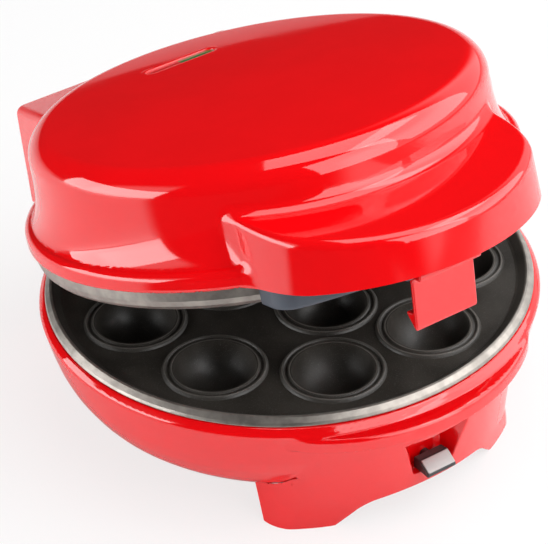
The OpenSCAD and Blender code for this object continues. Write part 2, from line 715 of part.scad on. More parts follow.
module latch() color(red) on_lid() difference() {
    union() {
        translate([0, latch_y, latch_h]) shaft(3.4, -latch_half, latch_half);
        translate([-latch_half, 0, 0]) rotate([90, 0, 90]) linear_extrude(height = 2 * latch_half)
            polygon([[-144.8, -8.6], [-145.4, -6], [-144.6, -3.8], [-140, -1.4], [-136.2, -2.2],
                [-135.2, -6], [-135.8, -9.6], [-133.5, -26.9], [-128.4, -26.9], [-127.9, -27.8],
                [-132.9, -35.4], [-133.9, -35.8], [-134.7, -34.4], [-138.1, -10.4], [-139.6, -8.8],
                [-143.6, -9.2]]);
    }
    translate([0, latch_y, latch_h]) shaft(latch_pin_r + running_fit, -20, 20);
}

module cord_bush() color(black) difference() {
    union() {
        translate([0, 125, bush_z]) rotate([90, 0, 0]) cylinder(r = 5, h = 8, $fn = 40);
        translate([0, 125.4, bush_z]) rotate([90, 0, 0]) cylinder(r = 7, h = 2.6, $fn = 40);
    }
    translate([0, 130, bush_z]) rotate([90, 0, 0]) cylinder(r = 3.4, h = 20, $fn = 32);
}

base_housing();
base_cover();
base_screws();
foot_pads();
cord_bush();
lower_plate();
lower_element();
lower_element_clips();
lower_reflector();
thermostat();
thermal_fuse();
button_guide();
button_spring();
release_button();
button_face();
plate_catch();
lid_housing();
lid_frame();
lid_screws();
upper_plate();
upper_element();
upper_element_clips();
upper_reflector();
shelf_liner();
liner_screws();
red_lens();
green_lens();
lamp_holder();
indicator_lamps();
hinge_pins();
latch_pin();
latch();
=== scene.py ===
import json
import math

import bpy
import numpy as np
from mathutils import Matrix, Vector


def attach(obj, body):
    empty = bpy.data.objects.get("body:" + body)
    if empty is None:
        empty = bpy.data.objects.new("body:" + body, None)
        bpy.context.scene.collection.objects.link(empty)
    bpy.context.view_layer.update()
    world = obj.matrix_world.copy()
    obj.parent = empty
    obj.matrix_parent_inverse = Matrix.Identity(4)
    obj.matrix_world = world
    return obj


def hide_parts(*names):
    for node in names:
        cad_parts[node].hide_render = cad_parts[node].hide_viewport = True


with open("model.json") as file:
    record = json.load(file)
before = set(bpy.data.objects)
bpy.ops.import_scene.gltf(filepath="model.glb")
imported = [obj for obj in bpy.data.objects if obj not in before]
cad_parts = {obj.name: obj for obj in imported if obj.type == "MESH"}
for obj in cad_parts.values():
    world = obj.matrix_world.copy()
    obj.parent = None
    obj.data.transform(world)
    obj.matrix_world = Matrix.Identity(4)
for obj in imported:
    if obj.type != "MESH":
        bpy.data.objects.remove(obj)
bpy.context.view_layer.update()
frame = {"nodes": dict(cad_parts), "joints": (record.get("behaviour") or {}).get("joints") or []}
print("frame loaded")

mm = 0.001
lidHinge = next(joint for joint in frame["joints"] if joint["name"] == "lid_hinge")

# Whole object, in millimetres and degrees: the lid has its own flat frame, with its lip on height 0
body = {
    "rimZ": 73.5,
    "lipDrop": 9.7,
    "hingeY": lidHinge["pos_m"][1] / mm,
    "hingeZ": lidHinge["pos_m"][2] / mm,
    "lidOpen": -lidHinge["range_deg"][0],
    "wall": 2.6,
}

# Camera, as the photograph was taken, in millimetres, degrees and pixels
photo = {
    "azimuth": -33.25,
    "elevation": 34.88,
    "roll": -2.76,
    "distance": 1314.7,
    "focalPixels": 2648.6,
    "width": 548,
    "height": 544,
    "centreX": 288.5,
    "centreY": 268.8,
}


def direction(side, rise=0.0):
    # a unit vector, turned from the front to the right and raised, both in degrees
    side, rise = math.radians(side), math.radians(rise)
    level = math.cos(rise)
    return Vector((math.sin(side) * level, -math.cos(side) * level, math.sin(rise)))


def makeCamera():
    # stands back from the plates' centre along the view, then turned about that line
    roll = math.radians(photo["roll"])
    back = direction(photo["azimuth"], photo["elevation"])
    right = direction(photo["azimuth"] + 90)
    up = back.cross(right)
    turnedRight = right * math.cos(roll) + up * math.sin(roll)
    turnedUp = up * math.cos(roll) - right * math.sin(roll)
    place = Vector((0, 0, body["rimZ"] * mm)) + back * photo["distance"] * mm
    data = bpy.data.cameras.new("photoCamera")
    data.sensor_width = 36
    data.lens = data.sensor_width * photo["focalPixels"] / photo["width"]
    data.shift_x = (photo["width"] / 2 - photo["centreX"]) / photo["width"]
    data.shift_y = (photo["centreY"] - photo["height"] / 2) / photo["width"]
    camera = bpy.data.objects.new("photoCamera", data)
    turn = Matrix((turnedRight, turnedUp, back)).transposed()
    camera.matrix_world = Matrix.Translation(place) @ turn.to_4x4()
    bpy.context.collection.objects.link(camera)
    bpy.context.scene.camera = camera


makeCamera()
print("camera placed")


# Places and surfaces

def lidMatrix():
    # carries the lid's flat frame (millimetres) to where the lid stands
    hinge = Vector((0, body["hingeY"], body["hingeZ"]))
    lip = Vector((0, 0, body["rimZ"] + body["lipDrop"]))
    turn = Matrix.Rotation(-math.radians(body["lidOpen"]), 4, "X")
    return Matrix.Translation(hinge) @ turn @ Matrix.Translation(lip - hinge)


def allOf(*conditions):
    # every condition holds
    result = conditions[0]
    for condition in conditions[1:]:
        result = np.maximum(result, condition)
    return result


def cutAway(solid, *cuts):
    # the solid, less each of the cuts
    for cut in cuts:
        solid = np.maximum(solid, -cut)
    return solid


def roundMax(a, b, radius):
    # both conditions hold, with their edge rounded to a radius
    outside = np.hypot(np.maximum(a + radius, 0), np.maximum(b + radius, 0))
    return np.minimum(np.maximum(a, b), -radius) + outside


def roundMin(a, b, radius):
    # either condition holds, with a fillet of that radius between them
    return -roundMax(-a, -b, radius)


def softCurve(places, values, soft):
    # straight lines through the given points, carried on past both ends and smoothed over a stretch
    step = 0.25
    dense = np.arange(places[0] - 2 * soft, places[-1] + 2 * soft, step)
    line = np.interp(dense, places, values)
    for end, inner, past in ((0, 1, dense < places[0]), (-1, -2, dense > places[-1])):
        slope = (values[inner] - values[end]) / (places[inner] - places[end])
        line = np.where(past, values[end] + (dense - places[end]) * slope, line)
    count = max(int(soft / step), 1)
    window = np.hanning(count + 2)[1:-1]
    padded = np.pad(line, count, mode="edge")
    smooth = np.convolve(padded, window / window.sum(), mode="same")[count:-count]
    return lambda q: np.interp(q, dense, smooth)


def polygonDistance(u, v, corners):
    # signed distance to a closed outline, negative inside
    shape = np.broadcast_shapes(np.shape(u), np.shape(v))
    best = np.full(shape, 1e9)
    inside = np.zeros(shape, bool)
    for (ax, ay), (bx, by) in zip(corners, corners[1:] + corners[:1]):
        ex, ey = bx - ax, by - ay
        along = np.clip(((u - ax) * ex + (v - ay) * ey) / (ex * ex + ey * ey), 0, 1)
        best = np.minimum(best, np.hypot(u - ax - ex * along, v - ay - ey * along))
        if ay != by:
            spans = (ay > v) != (by > v)
            inside ^= spans & (u < ax + (v - ay) * ex / ey)
    return np.where(inside, -best, best)


def bayDistance(x, y, half, front, radius, corner):
    # a bow-fronted outline: straight sides and a round front, with rounded corners between them
    return roundMax(np.hypot(x, y - front - radius) - radius, np.abs(x) - half, corner)


def easedOutline(corners, reach, steps=5):
    # a closed outline whose corners are replaced with short curves
    eased = []
    around = zip(corners[-1:] + corners[:-1], corners, corners[1:] + corners[:1])
    for before, corner, after in around:
        ends = []
        for other in (before, after):
            length = math.dist(corner, other)
            share = min(reach, 0.48 * length) / length
            ends.append([c + share * (o - c) for c, o in zip(corner, other)])
        for k in range(steps + 1):
            t = k / steps
            eased.append(tuple((1 - t) ** 2 * a + 2 * t * (1 - t) * c + t * t * b
                               for a, c, b in zip(ends[0], corner, ends[1])))
    return eased


# How closely a surface is found, in shares of a grid cell
grid = {
    "halvings": 9,
    "probe": 0.02,
    "margin": 0.02,
    "flatShare": 0.06,
    "corrections": 2,
    "leastSlope": 0.2,
}


def gridSurface(distance, low, high, cell):
    # points and four-sided faces of the surface where a distance is zero: one point for each grid
    # cell that the surface crosses, where the surface's planes at the cell's crossed edges meet
    origin = np.array(low, float)
    axes = [np.arange(a, b + cell, cell) for a, b in zip(low, high)]
    value = distance(*np.meshgrid(*axes, indexing="ij", sparse=True))
    inside = value < 0
    size = np.array(value.shape) - 1
    count = np.zeros(size, np.int8)
    for i, j, k in np.ndindex(2, 2, 2):
        count += inside[i:size[0] + i, j:size[1] + j, k:size[2] + k]
    active = (count > 0) & (count < 8)
    cells = np.argwhere(active)
    index = np.full(active.shape, -1)
    index[active] = np.arange(len(cells))
    units = np.eye(3, dtype=int)
    total, hits = np.zeros(cells.shape), np.zeros((len(cells), 1))
    spread, pull = np.zeros((len(cells), 3, 3)), np.zeros(cells.shape)
    faces = []
    for axis in range(3):
        start = np.take(inside, range(size[axis]), axis)
        edge = np.argwhere(start != np.take(inside, range(1, size[axis] + 1), axis))
        startsIn = start[tuple(edge.T)]
        nearEnd, farEnd = np.zeros(len(edge)), np.ones(len(edge))
        for _ in range(grid["halvings"]):
            middle = 0.5 * (nearEnd + farEnd)
            place = origin + cell * (edge + middle[:, None] * units[axis])
            same = (distance(*place.T) < 0) == startsIn
            nearEnd, farEnd = np.where(same, middle, nearEnd), np.where(same, farEnd, middle)
        normal = unitRows(gradient(distance, place, cell * grid["probe"]))
        b, c = units[(axis + 1) % 3], units[(axis + 2) % 3]
        for shift in (0 * b, b, c, b + c):
            owner = edge - shift
            kept = (owner >= 0).all(1) & (owner < size).all(1)
            which = index[tuple(owner[kept].T)]
            side, crossing = normal[kept], place[kept]
            np.add.at(total, which, crossing)
            np.add.at(hits, which, 1)
            np.add.at(spread, which, side[:, :, None] * side[:, None, :])
            np.add.at(pull, which, side * (side * crossing).sum(1, keepdims=True))
        whole = ((edge - b - c) >= 0).all(1) & (edge < size).all(1)
        for wanted, order in ((True, 1), (False, -1)):
            part = edge[whole & (startsIn == wanted)]
            corners = [part - b - c, part - c, part, part - b][::order]
            faces.append(np.stack([index[tuple(corner.T)] for corner in corners], 1))
    points = total / hits
    rest = pull - np.einsum("nij,nj->ni", spread, points)
    width, turn = np.linalg.eigh(spread)
    steep = width > grid["flatShare"] * width[:, 2:]
    inverse = np.where(steep, 1 / np.maximum(width, 1e-12), 0)
    points += np.einsum("nij,nj,nkj,nk->ni", turn, inverse, turn, rest)
    lowest = origin + cell * (cells + grid["margin"])
    highest = origin + cell * (cells + 1 - grid["margin"])
    points = np.clip(points, lowest, highest)
    for _ in range(grid["corrections"]):
        slope = gradient(distance, points, cell * grid["probe"])
        reach = distance(*points.T)
        reach = np.where(np.abs(reach) > grid["probe"] * cell, reach, 0)
        square = np.maximum((slope ** 2).sum(1), grid["leastSlope"])
        points -= (reach / square)[:, None] * slope
        points = np.clip(points, lowest, highest)
    return points, np.concatenate(faces)


def unitRows(rows):
    # each row divided by its length
    return rows / np.maximum(np.linalg.norm(rows, axis=1, keepdims=True), 1e-9)


def gradient(distance, points, step):
    # how fast a distance grows along each axis, from a step either way
    slope = np.empty(points.shape)
    for axis in range(3):
        shift = np.zeros(3)
        shift[axis] = step
        slope[:, axis] = distance(*(points + shift).T) - distance(*(points - shift).T)
    return slope / (2 * step)


def addPiece(name, points, faces, bodyName, replaced=(), place=None, distance=None):
    # a piece from points in millimetres, carried to its place and given its body
    points, faces = np.asarray(points, float), np.asarray(faces)
    normals = None if distance is None else cornerNormals(distance, points, faces)
    if place is not None:
        turn = np.array(place.to_3x3())
        points = points @ turn.T + np.array(place.translation)
        normals = None if normals is None else normals @ turn.T
    mesh = bpy.data.meshes.new(name)
    mesh.from_pydata((points * mm).tolist(), [], faces.tolist())
    mesh.shade_smooth()
    piece = bpy.data.objects.new(name, mesh)
    bpy.context.collection.objects.link(piece)
    if normals is not None:
        mesh.normals_split_custom_set(normals.reshape(-1, 3).tolist())
    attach(piece, bodyName)
    if replaced:
        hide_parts(*replaced)
    return piece


# Smooth shading: probe in millimetres, how far in a face is asked, and how well two sides agree
shading = {"probe": 0.05, "inward": 0.35, "smooth": 0.985, "facing": 0.55}


def cornerNormals(distance, points, faces):
    # one normal for each face corner: the surface's own, or on an edge that of the face's side
    corners = points[faces]
    middle = corners.mean(1, keepdims=True)
    flat = np.cross(corners[:, 2] - corners[:, 0], corners[:, 3] - corners[:, 1])
    flat = unitRows(flat)[:, None]
    own = unitRows(gradient(distance, points, shading["probe"]))[faces]
    inward = (corners + shading["inward"] * (middle - corners)).reshape(-1, 3)
    near = unitRows(gradient(distance, inward, shading["probe"])).reshape(corners.shape)
    fits = (own * near).sum(2, keepdims=True) > shading["smooth"]
    chosen = np.where(fits, own, near)
    facing = (chosen * flat).sum(2, keepdims=True) > shading["facing"]
    return np.where(facing, chosen, flat)


def addSolid(name, distance, values, bodyName, replaced=(), place=None):
    # the surface where a distance is zero, as a piece
    points, faces = gridSurface(distance, values["low"], values["high"], values["cell"])
    piece = addPiece(name, points, faces, bodyName, replaced, place, distance)
    print("made", name, len(piece.data.polygons), "faces")
    return piece


# Lid housing: drum, front shelf and rear block, in the lid's flat frame
lid = {
    "cell": 1.4,
    "low": (-126, -163, -29),
    "high": (126, 145, 61),
    "wallRadius": 113.0,
    "flare": 5.6,          # how much wider the wall is just above the lip
    "flareStart": 10.0,
    "flareLength": 8.5,
    "domeHeight": 57.5,
    "domeFall": 3.6,       # how far the roof falls over the first 100 mm
    "shoulder": 11.0,
    "lipRadius": 123.2,
    "lipHeight": 9.4,
    "lipRound": 3.7,
    "lipFoot": 2.0,
    "lipFillet": 1.0,
    "shelfHalf": 76.0,
    "shelfFront": -160.5,
    "shelfRadius": 85.0,
    "shelfCorner": 12.0,
    "shelfHeight": 21.0,
    "shelfSlope": 0.16,
    "shelfSlopeFrom": 3.5,
    "shelfEdge": 3.8,
    "shelfFillet": 5.0,
    "draft": 0.035,
    "blockFoot": -11.0,
    "blockFront": 60.0,
    "blockSidePoint": (75.0, 85.0),
    "blockSideNormal": (0.988, 0.156, 0.038),
    "blockRear": 142.0,
    "blockRearDraft": 0.096,
    "blockTop": 41.0,
    "blockTopY": 137.0,
    "blockSlope": -0.106,
    "blockCorner": 5.5,
    "blockEdge": 4.0,
    "blockFillet": 2.5,
    "blockRoomTop": 34.0,
    "clearRadius": 122.6,
    "mouthRadius": 120.7,
    "mouthHeight": 5.8,
    "roomHeight": 5.0,     # drawn solid above this, because nothing shows the inside
    "cupRadius": 108.0,
    "cupHeight": 18.0,
    "windowY": 67.7,
    "windowHalf": 20.0,
    "windowRadius": 4.0,
    "windowGap": 1.6,
    "windowFoot": 48.0,
}
ear = {"radius": 9.0, "stemHalf": 7.5, "stemTop": 30.0, "middleX": 62.2, "half": 2.2}


def roofHeight(r):
    # a shallow dome, which falls with the square of the radius
    return lid["domeHeight"] - lid["domeFall"] * (r / 100) ** 2


def windowDistance(x, y):
    # a slot: the distance to a straight line, less the slot's radius
    straight = lid["windowHalf"] - lid["windowRadius"]
    along = np.maximum(np.abs(x) - straight, 0)
    return np.hypot(along, y - lid["windowY"]) - lid["windowRadius"]


def shelfDistance(x, y, h):
    # a round front between two straight sides, all drawn in with height, below a sloping top
    centre = lid["shelfFront"] + lid["shelfRadius"]
    lean = lid["draft"] * h
    plan = roundMax(np.hypot(x, y - centre) - lid["shelfRadius"] + lean,
                    np.abs(x) - lid["shelfHalf"] + lean, lid["shelfCorner"])
    rise = lid["shelfSlope"] * (y - lid["shelfFront"] - lid["shelfSlopeFrom"])
    roof = h - lid["shelfHeight"] - rise
    return roundMax(plan, roof / math.hypot(1, lid["shelfSlope"]), lid["shelfEdge"])


def blockDistance(x, y, h):
    # leaning sides and rear below a sloping top, in front of which the block ends
    rise = h - lid["blockFoot"]
    sideX, sideY = lid["blockSidePoint"]
    across, along, up = lid["blockSideNormal"]
    side = (np.abs(x) - sideX) * across + (y - sideY) * along + rise * up
    rear = y - lid["blockRear"] + rise * lid["blockRearDraft"]
    roof = h - lid["blockTop"] - lid["blockSlope"] * (y - lid["blockTopY"])
    plan = roundMax(side, rear / math.hypot(1, lid["blockRearDraft"]), lid["blockCorner"])
    block = roundMax(plan, roof / math.hypot(1, lid["blockSlope"]), lid["blockEdge"])
    return np.maximum(block, lid["blockFront"] - y)


def lidFormDistance(x, y, h):
    # the lid as a solid form: a wall that flares towards its foot under the dome, a lip below it,
    # and the block and the shelf joined to it with fillets
    r = np.hypot(x, y)
    rise = np.maximum(h, lid["flareStart"]) - lid["flareStart"]
    wall = lid["wallRadius"] + lid["flare"] * np.exp(-rise / lid["flareLength"])
    drum = roundMax(r - wall, h - roofHeight(r), lid["shoulder"])
    lip = roundMax(r - lid["lipRadius"], h - lid["lipHeight"], lid["lipRound"])
    lip = roundMax(lip, -h, lid["lipFoot"])
    drum = roundMin(drum, lip, lid["lipFillet"])
    drum = roundMin(drum, blockDistance(x, y, h), lid["blockFillet"])
    return roundMin(drum, shelfDistance(x, y, h), lid["shelfFillet"])


def lidDistance(x, y, h):
    # the form, less the room inside it, the plate's mouth and the window, with the ears added
    r = np.hypot(x, y)
    solid = lidFormDistance(x, y, h)
    below = allOf(lid["blockFoot"] - h, lid["clearRadius"] - r, lid["blockFront"] - y)
    shell = np.maximum(solid, np.minimum(-h, below))
    blockRoom = np.maximum(below, h - lid["blockRoomTop"]) + body["wall"]
    cupRoom = np.maximum(r - lid["cupRadius"], h - lid["cupHeight"])
    room = np.minimum(np.minimum(h - lid["roomHeight"], blockRoom), cupRoom)
    mouth = np.maximum(r - lid["mouthRadius"], h - lid["mouthHeight"])
    window = np.maximum(windowDistance(x, y) - lid["windowGap"], lid["windowFoot"] - h)
    shell = cutAway(shell, np.maximum(solid + body["wall"], room), mouth, window)
    return np.minimum(shell, earDistance(x, y, h))


def earDistance(x, y, h):
    # the two lugs that hold the hinge pins
    dy = y - body["hingeY"]
    dh = h - (body["hingeZ"] - body["rimZ"] - body["lipDrop"])
    disc = np.hypot(dy, dh) - ear["radius"]
    stem = allOf(np.abs(dy) - ear["stemHalf"], -dh, dh - ear["stemTop"])
    return np.maximum(np.minimum(disc, stem), np.abs(np.abs(x) - ear["middleX"]) - ear["half"])


addSolid("lidHousing", lidDistance, lid, "lid", ["lid_housing"], lidMatrix())


# Rim of the indicator window: a smooth band round the slot that runs down into it
windowRim = {
    "round": 0.7,
    "depth": 5.5,
    "flat": (1.2, 2.2),       # how far out the band lies on the roof, and how high
    "flatRise": 0.03,
    "reach": 3.2,
    "sink": 0.05,
    "around": 160,
    "bends": 7,
}


def makeWindowRim():
    # a profile of offset and height carried round the slot's outline, on the roof's own height
    straight = lid["windowHalf"] - lid["windowRadius"]
    turn = np.linspace(-math.pi / 2, math.pi / 2, windowRim["around"] // 2)
    halfRound = np.stack([np.cos(turn), np.sin(turn)], 1)
    across = np.concatenate([halfRound, -halfRound])
    centre = np.repeat([straight, -straight], len(turn))
    bend = windowRim["round"]
    profile = [(0.0, -windowRim["depth"])]
    profile += [(bend * (1 - math.cos(a)), bend * (math.sin(a) - 1))
                for a in np.linspace(0, math.pi / 2, windowRim["bends"])]
    profile += [(offset, windowRim["flatRise"]) for offset in windowRim["flat"]]
    profile += [(windowRim["reach"], -windowRim["sink"])]
    rows = []
    for offset, drop in profile:
        x = centre + across[:, 0] * (lid["windowRadius"] + offset)
        y = lid["windowY"] + across[:, 1] * (lid["windowRadius"] + offset)
        rows.append(np.stack([x, y, roofHeight(np.hypot(x, y)) + drop], 1))
    here = np.arange(len(across))
    ahead = np.roll(here, -1)
    band = np.stack([here + len(here), ahead + len(here), ahead, here], 1)
    faces = np.concatenate([band + k * len(here) for k in range(len(rows) - 1)])
    addPiece("windowRim", np.concatenate(rows), faces, "lid", (), lidMatrix())


makeWindowRim()
print("lid made")

# Latch: a loop over its pivot and a plate with a barb at its foot
latch = {
    "cell": 0.55,
    "low": (-18, -147, -37),
    "high": (18, -127, 0),
    "half": 17.3,
    "edge": 0.9,
    "pivot": (-138.6, -4.5),
    "loop": 3.4,
    "loopFillet": 0.6,
    "bore": 1.56,
    "bend": 1.2,
    "outline": [(-144.8, -8.6), (-145.4, -6), (-144.6, -3.8), (-140, -1.4), (-136.2, -2.2),
                (-135.2, -6), (-135.8, -9.6), (-133.5, -26.9), (-128.4, -26.9), (-127.9, -27.8),
                (-132.9, -35.4), (-133.9, -35.8), (-134.7, -34.4), (-138.1, -10.4),
                (-139.6, -8.8), (-143.6, -9.2)],
}
latchOutline = easedOutline(latch["outline"], latch["bend"])


def latchDistance(x, y, h):
    # a section carried across the width: the plate's outline and a loop round the pivot, bored
    away = np.hypot(y - latch["pivot"][0], h - latch["pivot"][1])
    plate = polygonDistance(y, h, latchOutline)
    section = roundMin(plate, away - latch["loop"], latch["loopFillet"])
    hook = roundMax(section, np.abs(x) - latch["half"], latch["edge"])
    return np.maximum(hook, latch["bore"] - away)


addSolid("latchPlate", latchDistance, latch, "latch", ["latch"], lidMatrix())

# Liner below the shelf: a flat panel and a shallow tray between the drum's lip and the latch
liner = {
    "cell": 0.95,
    "low": (-75, -160, -11),
    "high": (75, -78, 5),
    "half": 72.6,
    "rear": -80.0,
    "panelFront": -157.1,
    "panelRadius": 82.0,
    "panelCorner": 9.0,
    "panelFoot": 1.4,
    "panelTop": 3.6,
    "trayFront": -130.6,
    "trayRadius": 176.0,
    "trayCorner": 8.0,
    "trayDepth": 9.5,
    "trayWall": 2.2,
    "trayEdge": 1.3,
    "lipRadius": 123.8,
    "plateRadius": 122.2,
    "plateTop": -0.3,
    "bracket": 3.8,
    "bracketTop": 2.0,
    "bracketSpan": (17.7, 20.7),
    "pinBore": 1.5,
    "screw": (58.0, -128.0),
    "screwBore": 1.7,
}


def linerDistance(x, y, h):
    # a flat panel, a tray below it and two brackets, less the drum, the tray's inside and the holes
    r = np.hypot(x, y)
    wall = liner["trayWall"]
    panel = bayDistance(x, y, liner["half"], liner["panelFront"], liner["panelRadius"],
                        liner["panelCorner"])
    panel = allOf(panel, liner["panelFoot"] - h, h - liner["panelTop"])
    plan = bayDistance(x, y, liner["half"], liner["trayFront"], liner["trayRadius"],
                       liner["trayCorner"])
    tray = roundMax(plan, -liner["trayDepth"] - h, liner["trayEdge"])
    tray = np.maximum(tray, h - liner["panelTop"])
    pivotY, pivotH = latch["pivot"]
    near, far = liner["bracketSpan"]
    pin = np.hypot(y - pivotY, h - pivotH)
    arm = allOf(pivotH - h, h - liner["bracketTop"], np.abs(y - pivotY) - liner["bracket"])
    bracket = allOf(np.minimum(pin - liner["bracket"], arm), near - np.abs(x), np.abs(x) - far)
    solid = np.maximum(np.minimum(panel, tray), y - liner["rear"])
    solid = np.minimum(solid, bracket)
    inside = allOf(plan + wall, liner["lipRadius"] + wall - r, wall - liner["trayDepth"] - h)
    drum = r - np.where(h < liner["plateTop"], liner["plateRadius"], liner["lipRadius"])
    screwX, screwY = liner["screw"]
    screw = np.hypot(np.abs(x) - screwX, y - screwY) - liner["screwBore"]
    return cutAway(solid, drum, inside, pin - liner["pinBore"], np.maximum(screw, -h))


addSolid("shelfLiner", linerDistance, liner, "lid", ["shelf_liner"], lidMatrix())

# Base housing: bowl, front skirt with ledge and recess, rear bay with the hinge barrel
base = {
    "cell": 1.38,
    "low": (-128, -136, -2),
    "high": (128, 140, 78),
    "seamZ": 35.0,
    "seamLap": 0.4,
    "ringTop": 69.0,
    "ringRadius": 121.9,
    "ringChamfer": (0.73, 0.68),
    "ringRound": 1.2,
    "ringEdge": 0.4,
    "seatRadius": 108.0,
    "seatZ": 67.2,
    "seatOuter": 118.8,
    "roomTop": 64.6,
    "cupZ": 45.0,              # drawn solid below this, because nothing shows the inside
    "skirtTop": 56.9,
    "skirtEnd": 60.0,
    "skirtFillet": 2.0,
    "ledgeHalf": 75.0,
    "ledgeFront": -133.0,
    "ledgeRadius": 98.0,
    "ledgeCorner": 11.0,
    "ledgeFoot": 57.2,
    "ledgeTop": 65.5,
    "ledgeFall": 0.0125,
    "ledgeFallReach": 9.0,
    "ledgeRound": 1.6,
    "ledgeUnder": 0.8,
    "ledgeFillet": 1.5,
    "footHeight": 5.8,
    "footHalf": 47.0,
    "footRear": 99.0,
    "padFront": (60.0, -86.5),
    "padRear": (58.0, 112.0),
    "padRadius": 5.5,
    "padDepth": 2.0,
    "archHalf": 46.6,
    "archLean": 0.98,
    "archTop": 15.4,
    "archFall": 2.9,
    "archFallHalf": 34.5,
    "archCorner": 3.0,
    "archEdge": 0.5,
    "recessFoot": 23.9,
    "recessTop": 46.5,
    "recessBack": -110.0,
    "recessMouth": -122.0,
    "recessHalf": 9.6,
    "recessSpread": (3.6, 9.9),     # how much wider the mouth is at its foot and at its top
    "recessLean": 1.22,
    "recessCorner": 1.5,
    "recessEdge": 0.7,
    "pocketHalf": 21.4,
    "pocketFoot": 21.8,
    "pocketTop": 49.0,
    "pocketRear": -103.4,
    "pocketBack": -107.6,
    "pocketFloor": 23.3,
    "rearY": 122.5,
    "rearTop": 67.2,
    "rearRound": 2.0,
    "rearSidePoint": (75.0, 88.0),
    "rearSideNormal": (0.968, 0.252),
    "rearCorner": 6.0,
    "rearInside": 4.0,
    "rearFillet": 0.5,
    "sideLean": (1.09, 1.25),
    "barrel": 10.5,
    "barrelHalf": 58.6,
    "barrelFillet": 1.5,
    "barrelPlate": 122.3,
    "earRoom": (9.6, 59.4, 8.4),    # round the lid's ears: radius, inner side and depth in front
    "pinBore": 3.2,
    "pinInner": 36.0,
    "stemBore": (27.3, 2.45),
    "stemSpan": (-112.0, -100.0),
    "catchHalf": 6.4,
    "catchSpan": (-119.0, -107.0, 60.0, 69.0),
    "bush": (32.0, 5.0),
    "bushFront": 114.0,
}
bowlRadius = softCurve([19.5, 23.5, 27.5, 32.6, 38.5, 45.5, 53.5, 65.5],
                       [99.0, 106.0, 110.0, 113.7, 117.0, 119.8, 122.0, 124.8], 5.0)
# Skirt over its height, and where the openings at its sides end
levels = [0, 6, 12.5, 30, 57]
skirt = {
    "half": softCurve(levels, [72.0, 71.6, 71.2, 70.0, 68.6], 4.0),
    "front": softCurve(levels, [-111.6, -113.6, -115.7, -119.5, -125.3], 4.0),
    "radius": softCurve(levels, [115.0, 108.0, 100.0, 98.0, 98.0], 4.0),
    "corner": softCurve(levels, [7.0, 8.0, 10.0, 11.0, 11.0], 4.0),
}
sideRear = softCurve([-1, 17, 36], [-78.0, -70.5, -62.5], 3.0)
sideFront = softCurve([-1, 19, 36], [99.0, 84.0, 74.0], 3.0)


def bowlDistance(r, z):
    # the radius less the bowl's own at that height, across its slope, under a chamfered rim
    slope = bowlRadius(z + 0.5) - bowlRadius(z - 0.5)
    flat = (r - bowlRadius(z)) / np.hypot(1, slope)
    across, up = base["ringChamfer"]
    chamfer = (r - base["ringRadius"]) * across + (z - base["ringTop"]) * up
    bowl = roundMax(flat, chamfer, base["ringRound"])
    return roundMax(bowl, z - base["ringTop"], base["ringEdge"])


def skirtDistance(x, y, z):
    # a bow front whose measures change with height
    return bayDistance(x, y, *(skirt[key](z) for key in ("half", "front", "radius", "corner")))


def rearPlan(x, y):
    # slanting sides and a straight rear
    sideX, sideY = base["rearSidePoint"]
    across, along = base["rearSideNormal"]
    side = (np.abs(x) - sideX) * across + (y - sideY) * along
    return roundMax(side, y - base["rearY"], base["rearCorner"])


def archDistance(x, z):
    # the opening between two feet: leaning sides under a curved top
    side = (np.abs(x) - base["archHalf"] + base["archLean"] * z) / math.hypot(1, base["archLean"])
    top = z - base["archTop"] + base["archFall"] * (x / base["archFallHalf"]) ** 2
    return roundMax(side, top, base["archCorner"])


def ledgeDistance(x, y, z):
    # a bow front whose top falls towards its edge with the square of the way
    plan = bayDistance(x, y, base["ledgeHalf"], base["ledgeFront"], base["ledgeRadius"],
                       base["ledgeCorner"])
    fall = base["ledgeFall"] * np.maximum(plan + base["ledgeFallReach"], 0) ** 2
    ledge = roundMax(plan, z - base["ledgeTop"] + fall, base["ledgeRound"])
    return roundMax(ledge, base["ledgeFoot"] - z, base["ledgeUnder"])


def footDistance(plan, x, z, end):
    # the foot of a wall, outside the arch and up to the wall's end
    return allOf(plan, z - base["footHeight"], base["footHalf"] - np.abs(x), end)


def recessDistance(x, y, z):
    # the funnel round the release button, wider towards its mouth and its top
    share = (y - base["recessBack"]) / (base["recessMouth"] - base["recessBack"])
    rise = (z - base["recessFoot"]) / (base["recessTop"] - base["recessFoot"])
    atFoot, atTop = base["recessSpread"]
    half = base["recessHalf"] + share * (atFoot + (atTop - atFoot) * rise)
    corner = base["recessCorner"]
    plan = roundMax((np.abs(x) - half) / base["recessLean"], z - base["recessTop"], corner)
    plan = roundMax(plan, base["recessFoot"] - z, corner)
    return np.maximum(plan, y - base["recessBack"])


def pocketDistance(x, y, z, plan):
    # the walls that close the recess behind: a block inside the skirt, less its room
    room = np.maximum(base["pocketBack"] - y, base["pocketFloor"] - z)
    return allOf(np.abs(x) - base["pocketHalf"], y - base["pocketRear"], base["pocketFoot"] - z,
                 z - base["pocketTop"], plan, -room)


